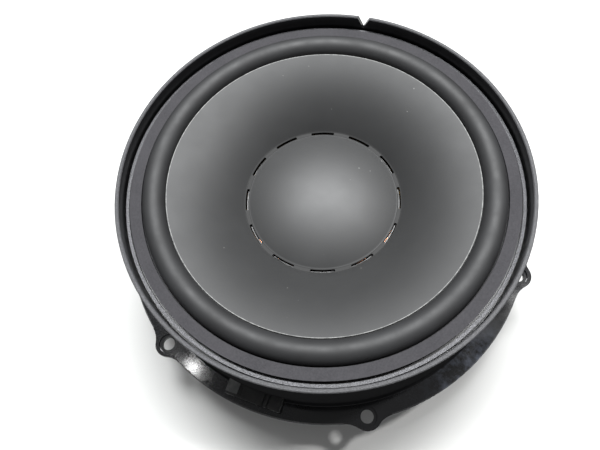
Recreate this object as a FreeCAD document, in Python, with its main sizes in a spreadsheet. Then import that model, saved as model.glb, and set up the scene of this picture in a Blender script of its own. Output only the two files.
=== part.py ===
import FreeCAD, Part
import math
import os
import re
import Sketcher

"""Car subwoofer driver, nominal 200 mm class.

Millimetres. The origin is the centre of the ear-hole circle on the flange's
rear face, and +Z runs along the driver's axis towards the listener. The
connector is on the -Y side and the first ear is on +X.
"""

SIZES = {
    "zero": "0",
    # collar, ledge and flange
    "collar_r": "100",
    "rim_z": "53",
    "rim_in_r": "98",
    "rim_edge": "0.4",
    "wall_in_r": "97",
    "channel_z": "37.5",
    "inner_wall_r": "93.6",
    "inner_wall_z": "34",
    "band_in_r": "95.5",
    "band_z": "45.3",
    "ledge_z": "44.5",
    "gap_r": "94.6",
    "gap_z": "42.8",
    "ledge_under_z": "41.6",
    "ledge_in_r": "87.5",
    "flange_r": "109.6",
    "flange_top": "3",
    "flange_edge": "0.6",
    "foot": "1.2",
    "notch_width": "6.3",
    "notch_depth": "7",
    "notch_angle": "95.3",
    # ears
    "ear_circle_r": "107.5",
    "ear_tip_r": "6.8",
    "ear_hole_r": "3.2",
    "ear_recess_r": "4.8",
    "ear_recess": "0.9",
    "ear_blend_r": "12",
    "blend_far": "=flange_r + ear_blend_r",
    "blend_near": "=ear_tip_r + ear_blend_r",
    "blend_x": "=(blend_far^2 - blend_near^2 + ear_circle_r^2) / (2 * ear_circle_r)",
    "blend_y": "=sqrt(blend_far^2 - blend_x^2)",
    "flank_x": "=blend_x * flange_r / blend_far",
    "flank_y": "=blend_y * flange_r / blend_far",
    "tip_x": "=ear_circle_r + (blend_x - ear_circle_r) * ear_tip_r / blend_near",
    "tip_y": "=blend_y * ear_tip_r / blend_near",
    # floor, windows, spider shelf and motor seat
    "window_in_r": "75",
    "window_out_r": "93",
    "window_angle": "46",
    "shelf_rim_r": "73",
    "shelf_rim_z": "12",
    "shelf_r": "70.3",
    "shelf_z": "9",
    "shelf_in_r": "63.5",
    "shelf_wall_r": "66",
    "core_in_r": "67.5",
    "core_out_r": "71",
    "core_z": "6.5",
    "seat_in_r": "44",
    "seat_z": "-3",
    "breather_r": "2.6",
    "breather_circle_r": "59.2",
    "rib_width": "3.2",
    "rib_high_z": "26",
    "rear_rib_width": "2.4",
    "boss_r": "4",
    "boss_z": "2.4",
    # seals and rings
    "gasket_in_r": "98.5",
    "gasket_out_r": "103",
    "gasket_depth": "1.6",
    "gasket_proud": "1",
    "clamp_in_r": "88.9",
    "clamp_out_r": "94.5",
    "clamp_z": "45.3",
    "clamp_top": "47.2",
    "spider_ring_in_r": "64",
    "spider_ring_r": "70",
    "spider_ring_z": "10.4",
    # surround
    "rubber": "0.8",
    "roll_in_r": "77",
    "roll_out_r": "88.2",
    "roll_z": "46.8",
    "roll_rise": "5.5",
    "lip_in_r": "72.4",
    # cone and dome
    "cone_t": "0.8",
    "cone_edge_r": "76.7",
    "cone_edge_z": "47.6",
    "cone_foot_r": "40.6",
    "cone_foot_z": "26.9",
    "cone_curve_r": "82",
    "cone_chord": "=sqrt((cone_edge_r - cone_foot_r)^2 + (cone_edge_z - cone_foot_z)^2)",
    "cone_reach": "=sqrt(cone_curve_r^2 - (cone_chord / 2)^2) / cone_chord",
    "curve_x": "=(cone_edge_r + cone_foot_r) / 2 + (cone_edge_z - cone_foot_z) * cone_reach",
    "curve_z": "=(cone_edge_z + cone_foot_z) / 2 - (cone_edge_r - cone_foot_r) * cone_reach",
    "lip_z": "=curve_z + sqrt(cone_curve_r^2 - (lip_in_r - curve_x)^2) - cone_t",
    "valley_z": "=cone_foot_z",
    "dome_foot_r": "38.7",
    "dome_z": "36.6",
    "slot_in_r": "38.95",
    "slot_out_r": "40.35",
    "slot_span": "18",
    "slot_start": "18.7",
    # coil assembly
    "former_in_r": "39.3",
    "former_r": "39.75",
    "former_low": "-14.4",
    "former_top": "25.2",
    "tab_span": "10",
    "tab_top": "=valley_z - cone_t",
    "winding_r": "41",
    "winding_low": "-14",
    "winding_top": "0",
    "wrap_r": "40.2",
    "wrap_low": "0.4",
    "wrap_top": "20.5",
    "lead_tab_r": "40.6",
    "lead_tab_low": "14.5",
    "lead_tab_span": "6",
    "lead_tab_angle": "8",
    # spider
    "cloth": "0.5",
    "neck_top": "13.2",
    "spider_wave": "1.2",
    "spider_first_r": "42.6",
    "spider_pitch": "3.6",
    "spider_out_r": "69.8",
    # motor
    "cup_r": "47",
    "cup_flange_r": "54",
    "cup_flange_z": "-7",
    "cup_in_r": "41.9",
    "cup_low": "-31",
    "cup_floor": "-24",
    "cup_edge": "2",
    "pole_r": "37.8",
    "pole_low": "-10",
    "pole_top": "-4",
    "magnet_r": "35",
    "cap_t": "0.5",
    "cap_in_r": "20",
    "sleeve_r": "9.5",
    "vent_r": "8",
    "sleeve_flange_r": "13",
    "sleeve_flange_t": "1",
    "mesh_z": "-29.5",
    "mesh_t": "0.6",
    "screw_circle_r": "50.5",
    "screw_r": "2",
    "screw_gap_r": "2.2",
    "screw_head_r": "3.4",
    "screw_head_t": "2.4",
    "screw_tip_z": "1.2",
    "screw_drive": "1.5",
    # connector
    "block_left": "-14.8",
    "block_right": "13.2",
    "block_middle": "-0.8",
    "block_out": "106",
    "block_top": "9.4",
    "socket_width": "20",
    "socket_floor": "101.4",
    "socket_low": "4.2",
    "socket_high": "8.4",
    "panel_left": "-7.6",
    "panel_right": "3.6",
    "panel_out": "104.9",
    "panel_depth": "0.6",
    "groove_width": "0.9",
    "groove_left": "4.2",
    "groove_right": "6.6",
    "groove_depth": "0.8",
    "pad_right": "-8.9",
    "pad_lift": "0.8",
    "blade_x": "5.2",
    "blade_width": "2.8",
    "blade_t": "0.8",
    "blade_z": "6.3",
    "blade_out": "105.4",
    "blade_in": "86.5",
    "tag_hole_r": "0.8",
    "tag_hole_y": "88.2",
    # leads
    "lead_r": "0.8",
    "lead_start_z": "17.5",
    "lead_crest_z": "23",
}

EARS = 6
SLOTS = 12
SCREWS = 6
BREATHERS = 12
SPIDER_WAVES = 5

doc = FreeCAD.newDocument("subwoofer")
sheet = doc.addObject("Spreadsheet::Sheet", "Sizes")
for row, (alias, text) in enumerate(SIZES.items(), start=1):
    sheet.set(f"A{row}", alias)
    sheet.set(f"B{row}", text)
    sheet.setAlias(f"B{row}", alias)
doc.recompute()

NAME = re.compile(r"[a-z][a-z_]*[a-z]")


def bound(text):
    """The expression as an object reads it, with the sheet's name added."""
    return NAME.sub(
        lambda word: "Sizes." + word.group() if word.group() in SIZES else word.group(), text
    )


def number(text):
    """The value of an expression in the sheet, worked out in a spare cell."""
    sheet.set("D1", "=" + text)
    sheet.recompute()
    return float(sheet.get("D1"))


def drive(item, **properties):
    """Bind properties of an object to expressions in the sheet."""
    for name, text in properties.items():
        item.setExpression(name.replace("__", "."), bound(text))
    return item


def turned(item, degrees):
    """Turn an object about the driver's axis, about its own origin on that axis."""
    spin = FreeCAD.Placement(
        FreeCAD.Vector(0, 0, 0), FreeCAD.Rotation(FreeCAD.Vector(0, 0, 1), degrees)
    )
    item.Placement = spin.multiply(item.Placement)
    return item


def cylinder(name, radius, low, high, x="0", y="0", span=None):
    item = doc.addObject("Part::Cylinder", name)
    drive(item, Radius=radius, Height=f"({high}) - ({low})", Placement__Base__z=low)
    if x != "0" or y != "0":
        drive(item, Placement__Base__x=x, Placement__Base__y=y)
    if span:
        drive(item, Angle=span)
    return item


def box(name, x, y, z):
    """Box from pairs of low and high expressions."""
    item = doc.addObject("Part::Box", name)
    drive(
        item,
        Length=f"({x[1]}) - ({x[0]})",
        Width=f"({y[1]}) - ({y[0]})",
        Height=f"({z[1]}) - ({z[0]})",
        Placement__Base__x=x[0],
        Placement__Base__y=y[0],
        Placement__Base__z=z[0],
    )
    return item


def cut(name, base, tool):
    item = doc.addObject("Part::Cut", name)
    item.Base = base
    item.Tool = tool
    return item


def fuse(name, items):
    item = doc.addObject("Part::MultiFuse", name)
    item.Shapes = items
    item.Refine = True
    return item


def group(name, items):
    """Separate identical solids kept under one name."""
    item = doc.addObject("Part::Compound", name)
    item.Links = items
    return item


def around(count, make, first=0.0):
    """One object for each of the equal steps round the driver's axis."""
    return [make(step, first + 360.0 * step / count) for step in range(count)]


def ring(name, inner, outer, low, high):
    return cut(
        name,
        cylinder(name + "_outer", outer, low, high),
        cylinder(name + "_inner", inner, f"({low}) - 1", f"({high}) + 1"),
    )


def sector(name, inner, outer, low, high, span, middle):
    """Part of a ring, centred on an angle in degrees."""
    outside = turned(
        cylinder(name + "_outer", outer, low, high, span=span), middle - number(span) / 2
    )
    return cut(name, outside, cylinder(name + "_inner", inner, f"({low}) - 1", f"({high}) + 1"))


def polar(radius, degrees):
    """Expressions for a point on a circle about the axis."""
    return f"({radius}) * cos({degrees} deg)", f"({radius}) * sin({degrees} deg)"


def outline(name, corners, upright=True):
    """Closed sketch bound to the sheet.

    A corner is (across, up) or (across, up, arc radius, side): the arc runs to
    the next corner and bulges to the left of the way there when side is 1.
    """
    sketch = doc.addObject("Sketcher::SketchObject", name)
    if upright:
        sketch.Placement = FreeCAD.Placement(
            FreeCAD.Vector(0, 0, 0), FreeCAD.Rotation(FreeCAD.Vector(1, 0, 0), 90)
        )
    points = [FreeCAD.Vector(number(c[0]), number(c[1]), 0) for c in corners]
    ends = []
    for index, corner in enumerate(corners):
        start, finish = points[index], points[(index + 1) % len(points)]
        if len(corner) == 2:
            sketch.addGeometry(Part.LineSegment(start, finish), False)
            ends.append((1, 2))
            continue
        chord = finish - start
        radius = number(corner[2])
        rise = radius - math.sqrt(radius**2 - (chord.Length / 2) ** 2)
        normal = FreeCAD.Vector(-chord.y, chord.x, 0).normalize()
        middle = (start + finish) * 0.5 + normal * rise * corner[3]
        first, last = (finish, start) if corner[3] > 0 else (start, finish)
        sketch.addGeometry(Part.Arc(first, middle, last), False)
        ends.append((2, 1) if corner[3] > 0 else (1, 2))
    for index, corner in enumerate(corners):
        following = (index + 1) % len(corners)
        sketch.addConstraint(
            Sketcher.Constraint("Coincident", index, ends[index][1], following, ends[following][0])
        )
    for index, corner in enumerate(corners):
        wanted = [("DistanceX", corner[0], points[index].x), ("DistanceY", corner[1], points[index].y)]
        for kind, text, value in wanted:
            place = sketch.addConstraint(
                Sketcher.Constraint(kind, -1, 1, index, ends[index][0], value)
            )
            sketch.setExpression(f"Constraints[{place}]", bound(text))
        if len(corner) == 4:
            place = sketch.addConstraint(
                Sketcher.Constraint("Radius", index, number(corner[2]))
            )
            sketch.setExpression(f"Constraints[{place}]", bound(corner[2]))
    return sketch


def spun(name, corners):
    """Solid of revolution about the driver's axis from a half section."""
    item = doc.addObject("Part::Revolution", name)
    item.Source = outline(name + "_section", corners)
    item.Axis = (0, 0, 1)
    item.Base = (0, 0, 0)
    item.Angle = 360
    item.Solid = True
    return item


def raised(name, sketch, height):
    item = doc.addObject("Part::Extrusion", name)
    item.Base = sketch
    item.DirMode = "Normal"
    item.Solid = True
    drive(item, LengthFwd=height)
    return item


def basket_shell():
    """Collar, ledge, flange, floor, spider shelf and motor seat in one section."""
    return spun(
        "basket_shell",
        [
            ("flange_r", "zero"),
            ("flange_r", "flange_top - flange_edge"),
            ("flange_r - flange_edge", "flange_top"),
            ("collar_r + foot", "flange_top"),
            ("collar_r", "flange_top + foot"),
            ("collar_r", "rim_z - rim_edge"),
            ("collar_r - rim_edge", "rim_z"),
            ("rim_in_r + rim_edge", "rim_z"),
            ("rim_in_r", "rim_z - rim_edge"),
            ("rim_in_r", "channel_z"),
            ("wall_in_r", "channel_z"),
            ("wall_in_r", "band_z"),
            ("band_in_r", "band_z"),
            ("band_in_r", "gap_z"),
            ("gap_r", "gap_z"),
            ("gap_r", "ledge_z"),
            ("ledge_in_r", "ledge_z"),
            ("ledge_in_r", "ledge_under_z"),
            ("inner_wall_r", "ledge_under_z - 0.8"),
            ("inner_wall_r", "inner_wall_z"),
            ("wall_in_r", "inner_wall_z - 4"),
            ("wall_in_r", "flange_top"),
            ("shelf_rim_r", "flange_top"),
            ("shelf_rim_r", "shelf_rim_z"),
            ("shelf_r", "shelf_rim_z"),
            ("shelf_r", "shelf_z"),
            ("shelf_in_r", "shelf_z"),
            ("shelf_in_r", "zero"),
            ("seat_in_r", "zero"),
            ("seat_in_r", "seat_z"),
            ("shelf_wall_r", "seat_z"),
            ("shelf_wall_r", "zero"),
            ("core_in_r", "zero"),
            ("core_in_r", "core_z"),
            ("core_out_r", "core_z"),
            ("core_out_r", "zero"),
        ],
    )


def ear(step, angle):
    """Rounded screw ear whose flanks sweep into the flange's edge."""
    sketch = outline(
        f"ear{step}_outline",
        [
            ("flank_x - 6", "-flank_y"),
            ("flank_x", "-flank_y"),
            ("blend_x", "-blend_y"),
            ("tip_x", "-tip_y"),
            ("tip_x", "tip_y"),
            ("blend_x", "blend_y"),
            ("flank_x", "flank_y"),
            ("flank_x - 6", "flank_y"),
        ],
        upright=False,
    )
    web = raised(f"ear{step}_web", turned(sketch, angle), "flange_top")
    hollows = []
    for side in (-1, 1):
        away = math.degrees(math.atan2(side * number("blend_y"), number("blend_x")))
        x, y = polar("blend_far", angle + away)
        hollows.append(
            cylinder(f"ear{step}_hollow{side + 1}", "ear_blend_r", "-1", "flange_top + 1", x, y)
        )
    x, y = polar("ear_circle_r", angle)
    tip = cylinder(f"ear{step}_tip", "ear_tip_r", "0", "flange_top", x, y)
    return fuse(f"ear{step}", [cut(f"ear{step}_flanks", web, fuse(f"ear{step}_hollows", hollows)), tip])


def gusset(step, angle):
    """Upright rib from the spider shelf to the collar's inner face."""
    sketch = outline(
        f"gusset{step}_outline",
        [
            ("shelf_rim_r - 0.5", "flange_top - 0.5"),
            ("shelf_rim_r - 0.5", "shelf_rim_z"),
            ("shelf_rim_r + 1", "shelf_rim_z"),
            ("wall_in_r + 0.5", "rib_high_z"),
            ("wall_in_r + 0.5", "flange_top - 0.5"),
        ],
    )
    item = doc.addObject("Part::Extrusion", f"gusset{step}")
    item.Base = turned(sketch, angle)
    item.DirMode = "Normal"
    item.Symmetric = True
    item.Solid = True
    drive(item, LengthFwd="rib_width")
    return item


def rear_rib(step, angle):
    """Low rib on the back of the floor that tapers off before the sealing face."""
    sketch = outline(
        f"rear_rib{step}_outline",
        [
            ("shelf_wall_r - 0.5", "1"),
            ("shelf_wall_r - 0.5", "seat_z"),
            ("shelf_rim_r + 2", "seat_z"),
            ("gasket_in_r - 2.5", "zero"),
            ("gasket_in_r - 2.5", "1"),
        ],
    )
    item = doc.addObject("Part::Extrusion", f"rear_rib{step}")
    item.Base = turned(sketch, angle)
    item.DirMode = "Normal"
    item.Symmetric = True
    item.Solid = True
    drive(item, LengthFwd="rear_rib_width")
    return item


def basket():
    """One moulding: the shell with its ears, ribs and bosses, less its openings."""
    bosses = around(
        SCREWS,
        lambda step, angle: cylinder(
            f"boss{step}", "boss_r", "seat_z", "boss_z", *polar("screw_circle_r", angle)
        ),
        30.0,
    )
    solid = fuse(
        "basket_solid",
        [
            basket_shell(),
            *around(EARS, ear),
            *around(EARS, gusset),
            *around(EARS, rear_rib, 0.0),
            *bosses,
        ],
    )
    gone = []
    for step in range(EARS):
        angle = 60.0 * step
        x, y = polar("ear_circle_r", angle)
        gone.append(cylinder(f"ear_hole{step}", "ear_hole_r", "-1", "flange_top + 1", x, y))
        gone.append(
            cylinder(
                f"ear_recess{step}", "ear_recess_r", "flange_top - ear_recess", "flange_top + 1", x, y
            )
        )
        gone.append(
            sector(
                f"window{step}", "window_in_r", "window_out_r", "-1", "flange_top + 1",
                "window_angle", angle + 30.0,
            )
        )
        x, y = polar("screw_circle_r", angle + 30.0)
        gone.append(cylinder(f"pilot{step}", "screw_r + 0.05", "seat_z - 1", "screw_tip_z", x, y))
    for step in range(BREATHERS):
        x, y = polar("breather_circle_r", 30.0 * step + 15.0)
        gone.append(cylinder(f"breather{step}", "breather_r", "seat_z - 1", "1", x, y))
    gone.append(notch())
    gone.append(ring("gasket_groove", "gasket_in_r", "gasket_out_r", "-1", "gasket_depth"))
    for name, side in (("left", "-1"), ("right", "1")):
        gone.append(blade_path("blade_slot_" + name, side, "collar_r + 0.5", "wall_in_r - 0.5"))
    tools = group("basket_openings", gone)
    return cut("basket", solid, tools)


def notch():
    """V cut through the rim."""
    sketch = outline(
        "notch_outline",
        [
            ("-notch_width / 2 * 1.3", "rim_z + notch_depth * 0.3"),
            ("zero", "rim_z - notch_depth"),
            ("notch_width / 2 * 1.3", "rim_z + notch_depth * 0.3"),
        ],
    )
    item = doc.addObject("Part::Extrusion", "notch")
    item.Base = turned(sketch, number("notch_angle") + 90.0)
    item.DirMode = "Normal"
    item.Solid = True
    drive(item, LengthFwd="collar_r + 3")
    return item


def blade_path(name, side, out, inner):
    """Straight strip along Y on one side of the connector's middle."""
    middle = f"block_middle + ({side}) * blade_x"
    return box(
        name,
        (f"{middle} - blade_width / 2", f"{middle} + blade_width / 2"),
        (f"-({out})", f"-({inner})"),
        ("blade_z - blade_t / 2", "blade_z + blade_t / 2"),
    )


def contact(name, side):
    """Socket blade that runs inward and ends as a drilled solder tag."""
    strip = blade_path(name + "_strip", side, "blade_out", "blade_in")
    hole = cylinder(
        name + "_hole", "tag_hole_r", "blade_z - 2", "blade_z + 2",
        f"block_middle + ({side}) * blade_x", "-tag_hole_y",
    )
    return cut(name, strip, hole)


def connector_housing():
    """Block against the collar, with a socket that opens outward and a moulded top."""
    inner = "-collar_r + 5"
    body = box(
        "block_body", ("block_left", "block_right"), ("-block_out", inner), ("flange_top", "block_top")
    )
    pad = box(
        "block_pad",
        ("block_left", "pad_right"),
        ("-panel_out", inner),
        ("block_top - 1", "block_top + pad_lift"),
    )
    end = box(
        "block_end",
        ("groove_right + groove_width", "block_right"),
        ("-panel_out", inner),
        ("block_top - 1", "block_top + pad_lift / 2"),
    )
    foot = spun(
        "block_foot",
        [
            ("collar_r - 1", "flange_top - 1"),
            ("collar_r + foot", "flange_top - 1"),
            ("collar_r + foot", "flange_top"),
            ("collar_r", "flange_top + foot"),
            ("collar_r - 1", "flange_top + foot"),
        ],
    )
    socket = box(
        "socket",
        ("block_middle - socket_width / 2", "block_middle + socket_width / 2"),
        ("-block_out - 1", "-socket_floor"),
        ("socket_low", "socket_high"),
    )
    gone = [cylinder("block_back", "collar_r", "flange_top - 1", "block_top + 3"), foot, socket]
    gone.append(
        box(
            "panel",
            ("panel_left", "panel_right"),
            ("-panel_out", inner),
            ("block_top - panel_depth", "block_top + 3"),
        )
    )
    for name, left in (("groove_a", "groove_left"), ("groove_b", "groove_right")):
        gone.append(
            box(
                name,
                (left, f"{left} + groove_width"),
                ("-block_out - 1", inner),
                ("block_top - groove_depth", "block_top + 3"),
            )
        )
    for name, side in (("block_slot_left", "-1"), ("block_slot_right", "1")):
        gone.append(blade_path(name, side, "socket_floor + 0.5", "collar_r - 1"))
    return cut("connector_housing", fuse("block", [body, pad, end]), fuse("block_gone", gone))


def roll_radius(width, rise):
    """Radius of an arc from its width and rise."""
    return f"((({width}) / 2)^2 + ({rise})^2) / (2 * ({rise}))"


def surround():
    """Rubber half roll: outer lip under the clamp ring, inner lip under the cone's edge."""
    outer_arc = roll_radius("roll_out_r - roll_in_r", "roll_rise")
    inner_arc = roll_radius("roll_out_r - roll_in_r - 2 * rubber", "roll_rise - rubber")
    return spun(
        "surround",
        [
            ("lip_in_r", "lip_z", "cone_curve_r", 1),
            ("cone_edge_r", "cone_edge_z - cone_t"),
            ("roll_in_r", "roll_z", outer_arc, 1),
            ("roll_out_r", "roll_z"),
            ("roll_out_r + 0.4", "clamp_z"),
            ("clamp_out_r", "clamp_z"),
            ("clamp_out_r", "ledge_z"),
            ("roll_out_r - rubber + 0.2", "ledge_z"),
            ("roll_out_r - rubber", "roll_z", inner_arc, -1),
            ("roll_in_r + rubber", "roll_z"),
            ("roll_in_r + rubber", "cone_edge_z - cone_t - rubber"),
            ("cone_edge_r", "cone_edge_z - cone_t - rubber", "cone_curve_r", -1),
            ("lip_in_r", "lip_z - rubber"),
        ],
    )


def cone():
    """Dome and flared cone in one piece, with a ring of slots in the valley between them."""
    upper = roll_radius("2 * dome_foot_r", "dome_z - valley_z")
    body = spun(
        "cone_body",
        [
            ("zero", "dome_z", upper, 1),
            ("dome_foot_r", "valley_z"),
            ("cone_foot_r", "valley_z", "cone_curve_r", 1),
            ("cone_edge_r", "cone_edge_z"),
            ("cone_edge_r", "cone_edge_z - cone_t", "cone_curve_r", -1),
            ("cone_foot_r", "valley_z - cone_t"),
            ("dome_foot_r", "valley_z - cone_t", upper, -1),
            ("zero", "dome_z - cone_t"),
        ],
    )
    slots = around(
        SLOTS,
        lambda step, angle: sector(
            f"slot{step}", "slot_in_r", "slot_out_r", "valley_z - 2", "valley_z + 2",
            "slot_span", angle,
        ),
        number("slot_start"),
    )
    return cut("cone", body, group("cone_slots", slots))


def former():
    """Thin tube whose tabs reach the cone between the slots and hold it."""
    tube = ring("former_tube", "former_in_r", "former_r", "former_low", "former_top")
    tabs = around(
        SLOTS,
        lambda step, angle: sector(
            f"tab{step}", "former_in_r", "former_r", "former_top - 0.5", "tab_top",
            "tab_span", angle,
        ),
        number("slot_start") + 180.0 / SLOTS,
    )
    return fuse("former", [tube, *tabs])


def spider():
    """Corrugated cloth ring with a turned-up neck."""
    middle = "spider_ring_z"
    ridge = []
    for step in range(2 * SPIDER_WAVES + 1):
        sign = "+" if step % 2 else "-"
        height = f"{middle} {sign} spider_wave" if 0 < step < 2 * SPIDER_WAVES else middle
        ridge.append((f"spider_first_r + {step} * spider_pitch / 2", height))
    upper = [(across, f"{up} + cloth") for across, up in ridge]
    return spun(
        "spider",
        [
            ("wrap_r", middle),
            ("wrap_r", "neck_top"),
            ("wrap_r + cloth", "neck_top"),
            ("wrap_r + cloth", f"{middle} + 2 * cloth"),
            *upper,
            ("spider_out_r", f"{middle} + cloth"),
            ("spider_out_r", middle),
            *reversed(ridge),
        ],
    )


def lead_tabs():
    return group(
        "lead_tabs",
        [
            sector(
                f"lead_tab{side + 1}", "wrap_r", "lead_tab_r", "lead_tab_low", "wrap_top",
                "lead_tab_span", -90.0 + side * number("lead_tab_angle"),
            )
            for side in (-1, 1)
        ],
    )


def lead(name, side):
    """Flexible lead from a pad on the coil collar, over in an arch, down into its tag."""
    angle = math.radians(-90.0 + side * number("lead_tab_angle"))
    away = FreeCAD.Vector(math.cos(angle), math.sin(angle), 0)
    start = away * (number("lead_tab_r") + 0.01)
    start.z = number("lead_start_z")
    end = FreeCAD.Vector(
        number("block_middle") + side * number("blade_x"),
        -number("tag_hole_y"),
        number("blade_z - blade_t / 2"),
    )
    crest = number("lead_crest_z")
    points = [start]
    for share, height in ((0.18, 0.86), (0.40, 1.0), (0.66, 0.88)):
        place = start + (end - start) * share
        place.z = crest * height
        points.append(place)
    points.append(end + FreeCAD.Vector(0, 0.6, 6.0))
    points.append(end)
    path = Part.BSplineCurve()
    path.interpolate(
        Points=points,
        InitialTangent=away * 8,
        FinalTangent=FreeCAD.Vector(0, 0, -6),
    )
    spine = Part.Wire([path.toShape()])
    section = Part.Wire([Part.makeCircle(number("lead_r"), start, away)])
    item = doc.addObject("Part::Feature", name)
    item.Shape = spine.makePipeShell([section], True, True)
    return item


def motor_cup():
    """Turned steel pot with a screw flange and a recess for the sleeve's rolled end."""
    body = spun(
        "cup_body",
        [
            ("cup_r - cup_edge", "cup_low"),
            ("cup_r", "cup_low + cup_edge"),
            ("cup_r", "cup_flange_z"),
            ("cup_flange_r", "cup_flange_z"),
            ("cup_flange_r", "seat_z"),
            ("cup_in_r", "seat_z"),
            ("cup_in_r", "cup_floor"),
            ("sleeve_r", "cup_floor"),
            ("sleeve_r", "cup_low + sleeve_flange_t"),
            ("sleeve_flange_r", "cup_low + sleeve_flange_t"),
            ("sleeve_flange_r", "cup_low"),
        ],
    )
    holes = around(
        SCREWS,
        lambda step, angle: cylinder(
            f"cup_hole{step}", "screw_gap_r", "cup_flange_z - 1", "seat_z + 1",
            *polar("screw_circle_r", angle),
        ),
        30.0,
    )
    return cut("motor_cup", body, group("cup_holes", holes))


def copper_cap():
    return spun(
        "copper_cap",
        [
            ("cap_in_r", "pole_top"),
            ("pole_r", "pole_top"),
            ("pole_r", "pole_low"),
            ("pole_r + cap_t", "pole_low"),
            ("pole_r + cap_t", "pole_top + cap_t"),
            ("cap_in_r", "pole_top + cap_t"),
        ],
    )


def centre_sleeve():
    """Hollow rivet that clamps disc, magnet and cup, and vents the dome's back."""
    return spun(
        "centre_sleeve",
        [
            ("vent_r", "cup_low"),
            ("sleeve_flange_r", "cup_low"),
            ("sleeve_flange_r", "cup_low + sleeve_flange_t"),
            ("sleeve_r", "cup_low + sleeve_flange_t"),
            ("sleeve_r", "pole_top"),
            ("sleeve_flange_r", "pole_top"),
            ("sleeve_flange_r", "pole_top + sleeve_flange_t"),
            ("vent_r", "pole_top + sleeve_flange_t"),
        ],
    )


def motor_screw(step, angle):
    """Pan-head screw with a hex drive, its thread left plain."""
    x, y = polar("screw_circle_r", angle)
    head = cylinder(
        f"screw_head{step}", "screw_head_r", "cup_flange_z - screw_head_t", "cup_flange_z", x, y
    )
    shank = cylinder(f"screw_shank{step}", "screw_r", "cup_flange_z - 1", "screw_tip_z", x, y)
    key = doc.addObject("Part::Prism", f"screw_drive{step}")
    key.Polygon = 6
    drive(
        key,
        Circumradius="screw_drive",
        Height="screw_head_t",
        Placement__Base__x=x,
        Placement__Base__y=y,
        Placement__Base__z="cup_flange_z - 1.8 * screw_head_t",
    )
    return cut(f"screw{step}", fuse(f"screw_body{step}", [head, shank]), key)


NODES = [
    basket(),
    ring("rear_gasket", "gasket_in_r", "gasket_out_r", "-gasket_proud", "gasket_depth"),
    connector_housing(),
    contact("contact_pos", "-1"),
    contact("contact_neg", "1"),
    ring("clamp_ring", "clamp_in_r", "clamp_out_r", "clamp_z", "clamp_top"),
    surround(),
    cone(),
    former(),
    ring("winding", "former_r", "winding_r", "winding_low", "winding_top"),
    ring("coil_collar", "former_r", "wrap_r", "wrap_low", "wrap_top"),
    lead_tabs(),
    spider(),
    ring("spider_ring", "spider_ring_in_r", "spider_ring_r", "shelf_z", "spider_ring_z"),
    lead("lead_pos", -1),
    lead("lead_neg", 1),
    motor_cup(),
    ring("magnet", "sleeve_r", "magnet_r", "cup_floor", "pole_low"),
    ring("pole_disc", "sleeve_r", "pole_r", "pole_low", "pole_top"),
    copper_cap(),
    centre_sleeve(),
    cylinder("vent_mesh", "vent_r", "mesh_z", "mesh_z + mesh_t"),
    group("motor_screws", around(SCREWS, motor_screw, 30.0)),
]

doc.recompute()

for item in doc.Objects:
    if "Invalid" in item.State or "Error" in item.State:
        raise RuntimeError(f"{item.Name}: {item.State}")

os.makedirs("parts", exist_ok=True)
for node in NODES:
    shape = node.Shape
    if shape.isNull() or not shape.isValid() or not shape.Solids:
        raise RuntimeError(f"{node.Label} has no valid solid")
    print(f"{node.Label:18} solids {len(shape.Solids):2}  volume {shape.Volume / 1000:8.2f} cm3")
    shape.exportStep(f"parts/{node.Label}.step")
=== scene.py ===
"""Looks of the car subwoofer driver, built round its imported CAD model.

Metres, in the CAD model's frame: the origin is the centre of the ear-hole
circle on the flange's rear face, and +Z runs towards the listener.
"""

import math

import bpy
import numpy as np
from mathutils import Matrix, Vector


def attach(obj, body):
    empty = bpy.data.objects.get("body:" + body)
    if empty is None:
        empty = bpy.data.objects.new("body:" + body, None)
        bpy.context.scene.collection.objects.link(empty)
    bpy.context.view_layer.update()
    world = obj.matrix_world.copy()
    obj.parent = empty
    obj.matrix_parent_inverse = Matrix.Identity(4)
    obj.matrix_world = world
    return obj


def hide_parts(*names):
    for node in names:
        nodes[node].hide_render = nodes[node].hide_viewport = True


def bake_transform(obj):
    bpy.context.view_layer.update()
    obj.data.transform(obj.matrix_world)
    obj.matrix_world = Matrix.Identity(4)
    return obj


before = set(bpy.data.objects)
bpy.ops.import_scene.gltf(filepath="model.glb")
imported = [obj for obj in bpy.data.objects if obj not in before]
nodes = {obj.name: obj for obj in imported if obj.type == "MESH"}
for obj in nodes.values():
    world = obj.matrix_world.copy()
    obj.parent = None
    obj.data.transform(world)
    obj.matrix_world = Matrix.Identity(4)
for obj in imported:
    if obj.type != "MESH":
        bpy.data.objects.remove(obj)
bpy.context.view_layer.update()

MM = 0.001
TURN = 2 * math.pi

# The camera: close, from above and in front. Metres, degrees and millimetres of lens
CAMERA_PLACE = (0.0455, -0.1137, 0.2808)
CAMERA_YAW = 28.3
CAMERA_TILT = 23.24
CAMERA_ROLL = -9.35
CAMERA_LENS = 32.4
CAMERA_SENSOR = 36.0

# Direction, in degrees about +Z, that the room's light comes from
BRIGHT_SIDE = 112.0

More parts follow.
